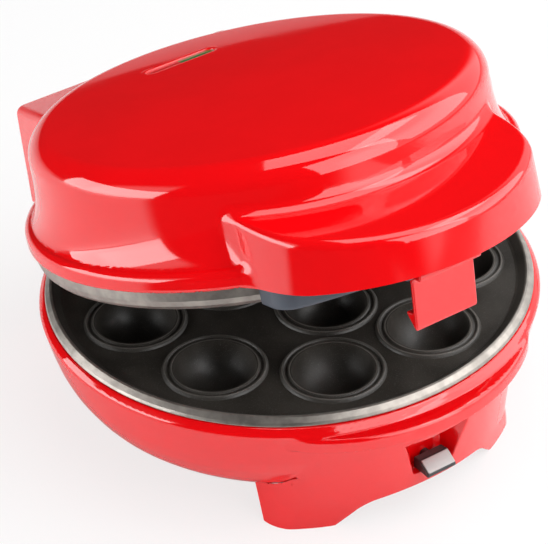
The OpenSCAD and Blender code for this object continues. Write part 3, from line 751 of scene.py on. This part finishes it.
def shellDistance(x, y, z):
    # skirt and ledge in front, bay behind, both cut by the arch, joined to the bowl and hollowed
    r = np.hypot(x, y)
    arch = archDistance(x, z)
    leanRear, leanFront = base["sideLean"]
    plan = skirtDistance(x, y, z)
    hollow = np.maximum(plan + body["wall"], z - base["skirtTop"])
    ends = (y - sideRear(z)) / leanRear
    front = np.maximum(plan, z - base["skirtEnd"])
    front = roundMin(front, ledgeDistance(x, y, z), base["ledgeFillet"])
    front = np.minimum(allOf(front, -hollow, ends), footDistance(plan, x, z, ends))
    front = roundMax(front, -arch, base["archEdge"])
    front = np.minimum(front, pocketDistance(x, y, z, plan))

    plan = rearPlan(x, y)
    top = z - base["rearTop"]
    ends = (sideFront(z) - y) / leanFront
    rear = roundMax(plan, top, base["rearRound"])
    rear = allOf(rear, ends, -np.maximum(plan, top) - body["wall"])
    rear = np.minimum(rear, footDistance(plan, x, z, base["footRear"] - y))
    rear = roundMax(rear, -arch, base["archEdge"])

    bowl = bowlDistance(r, z)
    shell = roundMin(front, np.maximum(bowl, base["seamZ"] - z), base["skirtFillet"])
    rear = np.maximum(rear, -bowl - base["rearInside"])
    shell = roundMin(shell, rear, base["rearFillet"])
    under = base["cupZ"] - z
    return cutAway(shell,
                   allOf(bowl + body["wall"], z - base["roomTop"], under),
                   np.maximum(r - base["seatRadius"], under),
                   np.maximum(r - base["seatOuter"], base["seatZ"] - z),
                   np.maximum(bowl - base["seamLap"], z - base["seamZ"]))


def padDistance(x, y, z, place):
    # the two seats of the rubber pads, left and right
    pad = np.hypot(np.abs(x) - place[0], y - place[1]) - base["padRadius"]
    return np.maximum(pad, z - base["padDepth"])


def baseDistance(x, y, z):
    # the shell with the hinge barrel, less the recess, the ears' room, the bores and the pad seats
    shell = shellDistance(x, y, z)
    shell = np.minimum(shell, pocketDistance(x, y, z, skirtDistance(x, y, z)))
    pin = np.hypot(y - body["hingeY"], z - body["hingeZ"])
    plate = np.maximum(np.hypot(x, y) - base["barrelPlate"], base["ringTop"] - z)
    barrel = allOf(pin - base["barrel"], np.abs(x) - base["barrelHalf"], -plate)
    shell = roundMin(shell, barrel, base["barrelFillet"])
    shell = roundMax(shell, -recessDistance(x, y, z), base["recessEdge"])
    earRadius, earInner, earReach = base["earRoom"]
    outer = earInner - np.abs(x)
    stemZ, stemRadius = base["stemBore"]
    stemFront, stemRear = base["stemSpan"]
    catchFront, catchRear, catchFoot, catchTop = base["catchSpan"]
    bushZ, bushRadius = base["bush"]
    return cutAway(shell,
                   np.maximum(pin - earRadius, outer),
                   allOf(outer, body["hingeY"] - earReach - y, body["hingeZ"] - z),
                   np.maximum(pin - base["pinBore"], base["pinInner"] - np.abs(x)),
                   allOf(np.hypot(x, z - stemZ) - stemRadius, stemFront - y, y - stemRear),
                   allOf(np.abs(x) - base["catchHalf"], catchFront - y, y - catchRear,
                         catchFoot - z, z - catchTop),
                   np.maximum(np.hypot(x, z - bushZ) - bushRadius, base["bushFront"] - y),
                   padDistance(x, y, z, base["padFront"]),
                   padDistance(x, y, z, base["padRear"]),
                   z)


addSolid("baseHousing", baseDistance, base, "base", ["base_housing"])

# Release button: a black block with a stem, and the satin plate on its sloping face
button = {
    "cell": 0.4,
    "low": (-9, -126, 23),
    "high": (9, -92, 32),
    "half": 8.3,
    "edge": 0.6,
    "bend": 0.6,
    "outline": [(-112.8, 24.3), (-112.8, 30.1), (-117.2, 30.9), (-117.8, 30.7), (-124.4, 26.4),
                (-124.8, 25.4), (-124.2, 24.3)],
    "stemRadius": 2.4,
    "stemZ": 27.3,
    "stemFront": -114.0,
    "stemEnd": -93.0,
}
buttonFace = {
    "cell": 0.22,
    "low": (-9, -125.5, 25.5),
    "high": (9, -117, 32),
    "half": 7.9,
    "edge": 0.3,
    "outline": [(-118.1, 30.505), (-124.2, 26.53), (-124.64, 27.2), (-118.54, 31.175)],
}
buttonOutline = easedOutline(button["outline"], button["bend"])


def buttonDistance(x, y, z):
    # a section carried across the width, and a round stem behind it
    section = polygonDistance(y, z, buttonOutline)
    block = roundMax(section, np.abs(x) - button["half"], button["edge"])
    stem = np.hypot(x, z - button["stemZ"]) - button["stemRadius"]
    return np.minimum(block, allOf(stem, button["stemFront"] - y, y - button["stemEnd"]))


def buttonFaceDistance(x, y, z):
    # a thin section carried across the width
    section = polygonDistance(y, z, buttonFace["outline"])
    return roundMax(section, np.abs(x) - buttonFace["half"], buttonFace["edge"])


addSolid("buttonBlock", buttonDistance, button, "button", ["release_button"])
addSolid("buttonPlate", buttonFaceDistance, buttonFace, "button", ["button_face"])
print("base made")


# Shader groups: each gives a mask, a value or a normal from a place in metres

def newGroup(name, inputs, outputs):
    tree = bpy.data.node_groups.new(name, "ShaderNodeTree")
    for label, kind, default in inputs:
        socket = tree.interface.new_socket(label, in_out="INPUT", socket_type=kind)
        if default is not None:
            socket.default_value = default
    for label, kind in outputs:
        tree.interface.new_socket(label, in_out="OUTPUT", socket_type=kind)
    return tree, tree.nodes.new("NodeGroupInput"), tree.nodes.new("NodeGroupOutput")


def addNode(tree, kind, settings=None, **values):
    # a node with its settings, and its sockets set or linked
    node = tree.nodes.new(kind)
    for key, value in (settings or {}).items():
        setattr(node, key, value)
    for key, value in values.items():
        # i0, i1 and so on count the sockets, and other keys name them
        socket = node.inputs[int(key[1:]) if key[1:].isdigit() else key]
        if isinstance(value, bpy.types.NodeSocket):
            tree.links.new(value, socket)
        else:
            socket.default_value = value
    return node


def mathNode(tree, operation, a, b=0.0, c=None, clamp=False):
    values = {"i0": a, "i1": b}
    if c is not None:
        values["i2"] = c
    settings = {"operation": operation, "use_clamp": clamp}
    return addNode(tree, "ShaderNodeMath", settings, **values).outputs[0]


def noiseValue(tree, place, scale, detail=3.0, rough=0.55):
    settings = {"noise_dimensions": "3D"}
    node = addNode(tree, "ShaderNodeTexNoise", settings, Vector=place, Scale=scale, Detail=detail,
                   Roughness=rough)
    return node.outputs["Fac"]


def vectorLength(tree, place):
    # how far a place is from the object's own origin
    node = addNode(tree, "ShaderNodeVectorMath", {"operation": "LENGTH"}, i0=place)
    return node.outputs["Value"]


def rampValue(tree, value, low, high, start=0.0, end=1.0):
    # a smooth step: start below low, end above high
    node = addNode(tree, "ShaderNodeMapRange", {"interpolation_type": "SMOOTHSTEP"}, Value=value)
    ends = {"From Min": low, "From Max": high, "To Min": start, "To Max": end}
    for key, number in ends.items():
        node.inputs[key].default_value = number
    return node.outputs[0]


def makeMottle():
    # slow cloudy variation and fine specks
    tree, given, out = newGroup(
        "mottle",
        [("Place", "NodeSocketVector", None), ("Cloud Scale", "NodeSocketFloat", 30.0),
         ("Speck Scale", "NodeSocketFloat", 900.0)],
        [("Cloud", "NodeSocketFloat"), ("Speck", "NodeSocketFloat")])
    cloud = noiseValue(tree, given.outputs["Place"], given.outputs["Cloud Scale"])
    speck = noiseValue(tree, given.outputs["Place"], given.outputs["Speck Scale"], 1.0)
    tree.links.new(rampValue(tree, cloud, 0.35, 0.65), out.inputs["Cloud"])
    tree.links.new(rampValue(tree, speck, 0.62, 0.72), out.inputs["Speck"])
    return tree


def makeSkin():
    # the faint unevenness of a moulded or cast skin, as a normal
    tree, given, out = newGroup(
        "skin",
        [("Place", "NodeSocketVector", None), ("Scale", "NodeSocketFloat", 60.0),
         ("Depth", "NodeSocketFloat", 0.0001), ("Strength", "NodeSocketFloat", 1.0)],
        [("Normal", "NodeSocketVector")])
    height = noiseValue(tree, given.outputs["Place"], given.outputs["Scale"], 2.0)
    bump = addNode(tree, "ShaderNodeBump", Strength=given.outputs["Strength"],
                   Distance=given.outputs["Depth"], Height=height)
    tree.links.new(bump.outputs[0], out.inputs["Normal"])
    return tree


def makeCavityEdges():
    # 1 on the cavities' lips, where bright metal is painted as a highlight, and 0 elsewhere; the
    # place is in the plate's own frame
    tree, given, out = newGroup(
        "cavityEdges",
        [("Place", "NodeSocketVector", None), ("Outer Ring", "NodeSocketFloat", 0.0822),
         ("Inner Ring", "NodeSocketFloat", 0.03165), ("Lip Radius", "NodeSocketFloat", 0.0242),
         ("Inner Lip Radius", "NodeSocketFloat", 0.0208), ("Width", "NodeSocketFloat", 0.00045)],
        [("Lip Glint", "NodeSocketFloat"), ("Distance", "NodeSocketFloat")])
    parts = addNode(tree, "ShaderNodeSeparateXYZ", Vector=given.outputs["Place"])
    x, y = parts.outputs[0], parts.outputs[1]
    nearest = None
    for count, start, ring in ((9, 90, "Outer Ring"), (3, 270, "Inner Ring")):
        for k in range(count):
            angle = math.radians(start + k * 360 / count)
            cx = mathNode(tree, "MULTIPLY", given.outputs[ring], math.cos(angle))
            cy = mathNode(tree, "MULTIPLY", given.outputs[ring], math.sin(angle))
            dx = mathNode(tree, "SUBTRACT", x, cx)
            dy = mathNode(tree, "SUBTRACT", y, cy)
            square = mathNode(tree, "MULTIPLY_ADD", dx, dx, mathNode(tree, "MULTIPLY", dy, dy))
            nearest = square if nearest is None else mathNode(tree, "MINIMUM", nearest, square)
    distance = mathNode(tree, "SQRT", nearest)
    total = None
    for radius in ("Lip Radius", "Inner Lip Radius"):
        off = mathNode(tree, "SUBTRACT", distance, given.outputs[radius])
        off = mathNode(tree, "ABSOLUTE", off)
        off = mathNode(tree, "DIVIDE", off, given.outputs["Width"])
        share = mathNode(tree, "SUBTRACT", 1.0, off, clamp=True)
        total = share if total is None else mathNode(tree, "MAXIMUM", total, share)
    tree.links.new(total, out.inputs["Lip Glint"])
    tree.links.new(distance, out.inputs["Distance"])
    return tree


groups = {"mottle": makeMottle(), "skin": makeSkin(), "cavityEdges": makeCavityEdges()}


def useGroup(tree, name, **values):
    sockets = {key.replace("_", " "): value for key, value in values.items()}
    return addNode(tree, "ShaderNodeGroup", {"node_tree": groups[name]}, **sockets)


def newMaterial(name, colour, roughness, sockets=()):
    material = bpy.data.materials.new(name)
    material.use_nodes = True
    tree = material.node_tree
    shader = tree.nodes["Principled BSDF"]
    shader.inputs["Base Color"].default_value = (*colour, 1)
    shader.inputs["Roughness"].default_value = roughness
    for key, value in dict(sockets).items():
        shader.inputs[key].default_value = value
    place = tree.nodes.new("ShaderNodeTexCoord").outputs["Object"]
    return material, tree, shader, place


def mixColour(tree, share, a, b):
    # from a to b as the share goes from 0 to 1
    node = tree.nodes.new("ShaderNodeMix")
    node.data_type = "RGBA"
    for socket, value in ((node.inputs[0], share), (node.inputs[6], a), (node.inputs[7], b)):
        if isinstance(value, bpy.types.NodeSocket):
            tree.links.new(value, socket)
        else:
            socket.default_value = (*value, 1)
    return node.outputs[2]


def addSkin(tree, shader, place, skin):
    # the skin's normal into the shader
    scale, depth, strength = skin
    skin = useGroup(tree, "skin", Place=place, Scale=scale, Depth=depth, Strength=strength)
    tree.links.new(skin.outputs["Normal"], shader.inputs["Normal"])


def dress(material, pieces):
    # gives named pieces or nodes one material
    for name in pieces:
        piece = frame["nodes"].get(name) or bpy.data.objects.get(name)
        piece.data.materials.clear()
        piece.data.materials.append(material)


def surfaceMaterial(name, finish):
    # a finish with cloudy colour, uneven gloss and a faint skin
    material, tree, shader, place = newMaterial(
        name, finish["colours"][0], finish["roughness"][0], finish.get("sockets", ()))
    cloud = useGroup(tree, "mottle", Place=place).outputs["Cloud"]
    tree.links.new(mixColour(tree, cloud, *finish["colours"]), shader.inputs["Base Color"])
    gloss = rampValue(tree, cloud, 0.0, 1.0, *finish["roughness"])
    tree.links.new(gloss, shader.inputs["Roughness"])
    addSkin(tree, shader, place, finish["skin"])
    return material


# Finishes: two colours that drift into each other, least and greatest roughness, and the skin's
# scale, depth in metres and strength
bareMetal = {"Metallic": 1.0}
finishes = {
    "redPlastic": {
        "colours": ((0.80, 0.0018, 0.004), (0.77, 0.0016, 0.0035)), "roughness": (0.04, 0.065),
        "skin": (22.0, 0.00012, 0.2), "sockets": {"IOR": 1.72},
        "pieces": ["base_cover", "latchPlate", "lidHousing", "windowRim", "baseHousing"],
    },
    "blackPlastic": {
        "colours": ((0.018, 0.018, 0.02), (0.026, 0.026, 0.028)), "roughness": (0.32, 0.42),
        "skin": (1800.0, 0.00004, 0.5),
        "pieces": ["button_guide", "buttonBlock"],
    },
    "slatePlastic": {
        "colours": ((0.055, 0.065, 0.085), (0.07, 0.082, 0.105)), "roughness": (0.40, 0.50),
        "skin": (1800.0, 0.00004, 0.5),
        "pieces": ["lid_frame", "shelfLiner"],
    },
    "platedSteel": {
        "colours": ((0.62, 0.62, 0.62), (0.52, 0.52, 0.52)), "roughness": (0.22, 0.32),
        "skin": (400.0, 0.00002, 0.4), "sockets": bareMetal,
        "pieces": ["base_screws", "lid_screws", "liner_screws", "hinge_pins", "latch_pin"],
    },
    "springSteel": {
        "colours": ((0.55, 0.54, 0.52), (0.45, 0.44, 0.42)), "roughness": (0.30, 0.42),
        "skin": (300.0, 0.00003, 0.4), "sockets": bareMetal,
        "pieces": ["lower_element_clips", "upper_element_clips", "button_spring", "plate_catch",
                   "thermostat", "thermal_fuse"],
    },
    "satinTrim": {
        "colours": ((0.36, 0.355, 0.35), (0.31, 0.305, 0.30)), "roughness": (0.30, 0.38),
        "skin": (1500.0, 0.00002, 0.4), "sockets": {"Metallic": 0.85},
        "pieces": ["buttonPlate"],
    },
    "elementSheath": {
        "colours": ((0.30, 0.27, 0.25), (0.42, 0.36, 0.30)), "roughness": (0.40, 0.55),
        "skin": (300.0, 0.00004, 0.5), "sockets": bareMetal,
        "pieces": ["lower_element", "upper_element"],
    },
    "reflectorSheet": {
        "colours": ((0.78, 0.78, 0.79), (0.68, 0.68, 0.70)), "roughness": (0.18, 0.30),
        "skin": (120.0, 0.00006, 0.4), "sockets": bareMetal,
        "pieces": ["lower_reflector", "upper_reflector"],
    },
    "footRubber": {
        "colours": ((0.02, 0.02, 0.02), (0.035, 0.034, 0.033)), "roughness": (0.75, 0.85),
        "skin": (900.0, 0.00006, 0.6),
        "pieces": ["foot_pads", "cord_bush"],
    },
    "redLens": {
        "colours": ((0.60, 0.01, 0.01), (0.45, 0.008, 0.008)), "roughness": (0.08, 0.14),
        "skin": (200.0, 0.00003, 0.3), "sockets": {"Coat Weight": 0.5},
        "pieces": ["red_lens"],
    },
    "greenLens": {
        "colours": ((0.02, 0.20, 0.05), (0.015, 0.14, 0.035)), "roughness": (0.08, 0.14),
        "skin": (200.0, 0.00003, 0.3), "sockets": {"Coat Weight": 0.5},
        "pieces": ["green_lens"],
    },
    "paleBoard": {
        "colours": ((0.70, 0.66, 0.56), (0.62, 0.58, 0.48)), "roughness": (0.55, 0.65),
        "skin": (500.0, 0.00004, 0.5),
        "pieces": ["lamp_holder"],
    },
    "lampGlass": {
        "colours": ((0.85, 0.62, 0.45), (0.80, 0.55, 0.38)), "roughness": (0.06, 0.10),
        "skin": (200.0, 0.00002, 0.3),
        "pieces": ["indicator_lamps"],
    },
}
for name, finish in finishes.items():
    dress(surfaceMaterial(name, finish), finish["pieces"])

# Plates: a dark coat with bare metal on the rim band, and bright metal painted on the cavities'
# lips as a painted highlight
nonstick = {
    "coat": ((0.027, 0.023, 0.019), (0.042, 0.036, 0.030)),
    "cloudScale": 45.0,
    "speck": (0.16, 0.155, 0.15),
    "speckScale": 2600.0,
    "speckShare": 0.55,
    "metal": ((0.42, 0.385, 0.35), (0.30, 0.275, 0.25)),
    "metallic": 0.9,
    "band": (0.1172, 0.1180),
    # the painted highlight on the lips starts this far from a cavity's centre, in metres
    "glintFrom": (0.0196, 0.0204),
    "toneScale": 160.0,
    "roughness": (0.36, 0.46),
    "skin": (1400.0, 0.00003, 0.6),
}


def nonstickMaterial(name, place):
    # bare metal where the radius passes the band's, and a painted highlight of bright metal on the
    # cavities' lips, uneven along them
    material, tree, shader, where = newMaterial(name, nonstick["coat"][0], nonstick["roughness"][0])
    # carries the place into the plate's own upright frame
    back = place.inverted()
    mapping = addNode(tree, "ShaderNodeMapping", {"vector_type": "POINT"}, Vector=where,
                      Location=back.translation, Rotation=back.to_euler("XYZ"))
    where = mapping.outputs[0]
    parts = addNode(tree, "ShaderNodeSeparateXYZ", Vector=where)
    flat = addNode(tree, "ShaderNodeCombineXYZ", X=parts.outputs[0], Y=parts.outputs[1])
    edges = useGroup(tree, "cavityEdges", Place=where)
    mottle = useGroup(tree, "mottle", Place=where, Cloud_Scale=nonstick["cloudScale"],
                      Speck_Scale=nonstick["speckScale"])
    toneNoise = noiseValue(tree, where, nonstick["toneScale"])
    # painted highlight: bright metal rings on the cavities' lips, stronger and weaker along them
    lipGlint = mathNode(tree, "MULTIPLY", edges.outputs["Lip Glint"],
                    rampValue(tree, toneNoise, 0.25, 0.55, 0.55, 1.0))
    lipGlint = mathNode(tree, "MULTIPLY", lipGlint,
                    rampValue(tree, edges.outputs["Distance"], *nonstick["glintFrom"]))
    band = rampValue(tree, vectorLength(tree, flat.outputs[0]), *nonstick["band"])
    bandAndGlint = mathNode(tree, "MAXIMUM", band, lipGlint)
    speck = mathNode(tree, "MULTIPLY", mottle.outputs["Speck"], nonstick["speckShare"])
    coat = mixColour(tree, mottle.outputs["Cloud"], *nonstick["coat"])
    coat = mixColour(tree, speck, coat, nonstick["speck"])
    metal = mixColour(tree, rampValue(tree, toneNoise, 0.3, 0.7), *nonstick["metal"])
    tree.links.new(mixColour(tree, bandAndGlint, coat, metal), shader.inputs["Base Color"])
    metallic = mathNode(tree, "MULTIPLY", bandAndGlint, nonstick["metallic"])
    tree.links.new(metallic, shader.inputs["Metallic"])
    gloss = rampValue(tree, mottle.outputs["Cloud"], 0.0, 1.0, *nonstick["roughness"])
    tree.links.new(gloss, shader.inputs["Roughness"])
    addSkin(tree, shader, where, nonstick["skin"])
    return material


lowerPlace = Matrix.Translation((0, 0, body["rimZ"] * mm))
upperPlace = lidMatrix()
upperPlace.translation = upperPlace.translation * mm
upperPlace = upperPlace @ Matrix.Translation((0, 0, -body["lipDrop"] * mm))
dress(nonstickMaterial("lowerNonstick", lowerPlace), ["lower_plate"])
dress(nonstickMaterial("upperNonstick", upperPlace), ["upper_plate"])
print("materials made")

# Stage: pale floor and four soft boxes, in metres, degrees from the front and above the floor
stage = {
    "floorSize": 6.0,
    "floorColour": (0.86, 0.86, 0.86),
    "floorRoughness": 0.9,
    "floorGlow": 0.75,        # share of plain white that the camera sees in the floor
    "worldStrength": 0.30,
    "worldDark": 0.03,        # what polish shows of the room between its pale sides
    "paleLeft": (-0.7, -0.9),
    "paleLeftRear": (-0.15, 0.0),
    "paleRight": (-0.1, 0.3),
    "paleRear": (0.75, 0.5),
    "paleTop": (0.8, 0.4),
    "floorDark": 0.05,        # what polish shows of the far floor on the camera's side
    "darkSide": -50,
    "darkSpread": (0.78, 0.86),
    "darkFrom": (0.26, 0.36),
    "aim": (0, 0, 0.09),
    "lamps": {
        "leftBox": {"side": -112, "rise": 9, "away": 1.1, "size": (1.2, 0.5), "watts": 8.0},
        "frontBox": {"side": 12, "rise": 28, "away": 1.2, "size": (0.9, 1.1), "watts": 8.0},
        "rightBox": {"side": 65, "rise": 38, "away": 1.3, "size": (1.3, 1.4), "watts": 12.0},
        "topBox": {"side": 60, "rise": 76, "away": 1.3, "size": (1.1, 1.1), "watts": 8.5},
    },
}


def makeLamps():
    # each box stands on its own line from the aim and faces it
    for name, lamp in stage["lamps"].items():
        data = bpy.data.lights.new(name, "AREA")
        data.shape = "RECTANGLE"
        data.size, data.size_y = lamp["size"]
        data.energy = lamp["watts"]
        out = direction(lamp["side"], lamp["rise"])
        light = bpy.data.objects.new(name, data)
        light.location = Vector(stage["aim"]) + out * lamp["away"]
        light.rotation_euler = (-out).to_track_quat("-Z", "Y").to_euler()
        bpy.context.collection.objects.link(light)


def makeFloor():
    # pale paint that the camera sees partly as white, and polish as dark far off on one side
    half = stage["floorSize"] / 2
    corners = [(-half, -half, 0), (half, -half, 0), (half, half, 0), (-half, half, 0)]
    mesh = bpy.data.meshes.new("floor")
    mesh.from_pydata(corners, [], [(0, 1, 2, 3)])
    floor = bpy.data.objects.new("floor", mesh)
    bpy.context.collection.objects.link(floor)
    material, tree, shader, place = newMaterial("floorPaint", stage["floorColour"],
                                                stage["floorRoughness"])
    white = (1, 1, 1, 1)
    glow = addNode(tree, "ShaderNodeEmission", Color=white, Strength=1.0)
    dim = addNode(tree, "ShaderNodeEmission", Color=white, Strength=stage["floorDark"])
    rays = tree.nodes.new("ShaderNodeLightPath")
    share = mathNode(tree, "MULTIPLY", rays.outputs["Is Camera Ray"], stage["floorGlow"])
    away = vectorLength(tree, place)
    toward = addNode(tree, "ShaderNodeVectorMath", {"operation": "DOT_PRODUCT"}, i0=place,
                     i1=direction(stage["darkSide"])).outputs["Value"]
    facing = mathNode(tree, "DIVIDE", toward, away)
    far = mathNode(tree, "MULTIPLY", rampValue(tree, facing, *stage["darkSpread"]),
                   rampValue(tree, away, *stage["darkFrom"]))
    far = mathNode(tree, "MULTIPLY", far, rays.outputs["Is Glossy Ray"])
    blend = shader
    for amount, other in ((share, glow), (far, dim)):
        blend = addNode(tree, "ShaderNodeMixShader", i0=amount, i1=blend.outputs[0],
                        i2=other.outputs[0])
    tree.links.new(blend.outputs[0], tree.nodes["Material Output"].inputs["Surface"])
    mesh.materials.append(material)


def makeWorld():
    # white to the camera, pale at both sides to polished surfaces, and plain to everything else
    world = bpy.data.worlds.new("studio")
    world.use_nodes = True
    bpy.context.scene.world = world
    tree = world.node_tree
    background = tree.nodes["Background"]
    background.inputs["Color"].default_value = (1, 1, 1, 1)
    rays = tree.nodes.new("ShaderNodeLightPath")
    toward = tree.nodes.new("ShaderNodeTexCoord").outputs["Generated"]
    x, y, z = addNode(tree, "ShaderNodeSeparateXYZ", Vector=toward).outputs
    left = mathNode(tree, "MULTIPLY", rampValue(tree, x, *stage["paleLeft"]),
                    rampValue(tree, y, *stage["paleLeftRear"]))
    pale = mathNode(tree, "MAXIMUM", rampValue(tree, x, *stage["paleRight"]), left)
    pale = mathNode(tree, "MULTIPLY", pale, rampValue(tree, y, *stage["paleRear"]))
    pale = mathNode(tree, "MULTIPLY", pale, rampValue(tree, z, *stage["paleTop"]))
    room = rampValue(tree, pale, 0.0, 1.0, stage["worldDark"], 1.0)
    polish = mathNode(tree, "MAXIMUM", rays.outputs["Is Glossy Ray"],
                      rays.outputs["Is Transmission Ray"])
    plain = mathNode(tree, "SUBTRACT", 1.0, polish)
    plain = mathNode(tree, "MULTIPLY", plain, stage["worldStrength"])
    strength = mathNode(tree, "MULTIPLY_ADD", room, polish, plain)
    strength = mathNode(tree, "MAXIMUM", strength, rays.outputs["Is Camera Ray"])
    tree.links.new(strength, background.inputs["Strength"])


makeLamps()
makeFloor()
makeWorld()
bpy.context.scene.view_settings.view_transform = "Standard"
print("stage made")
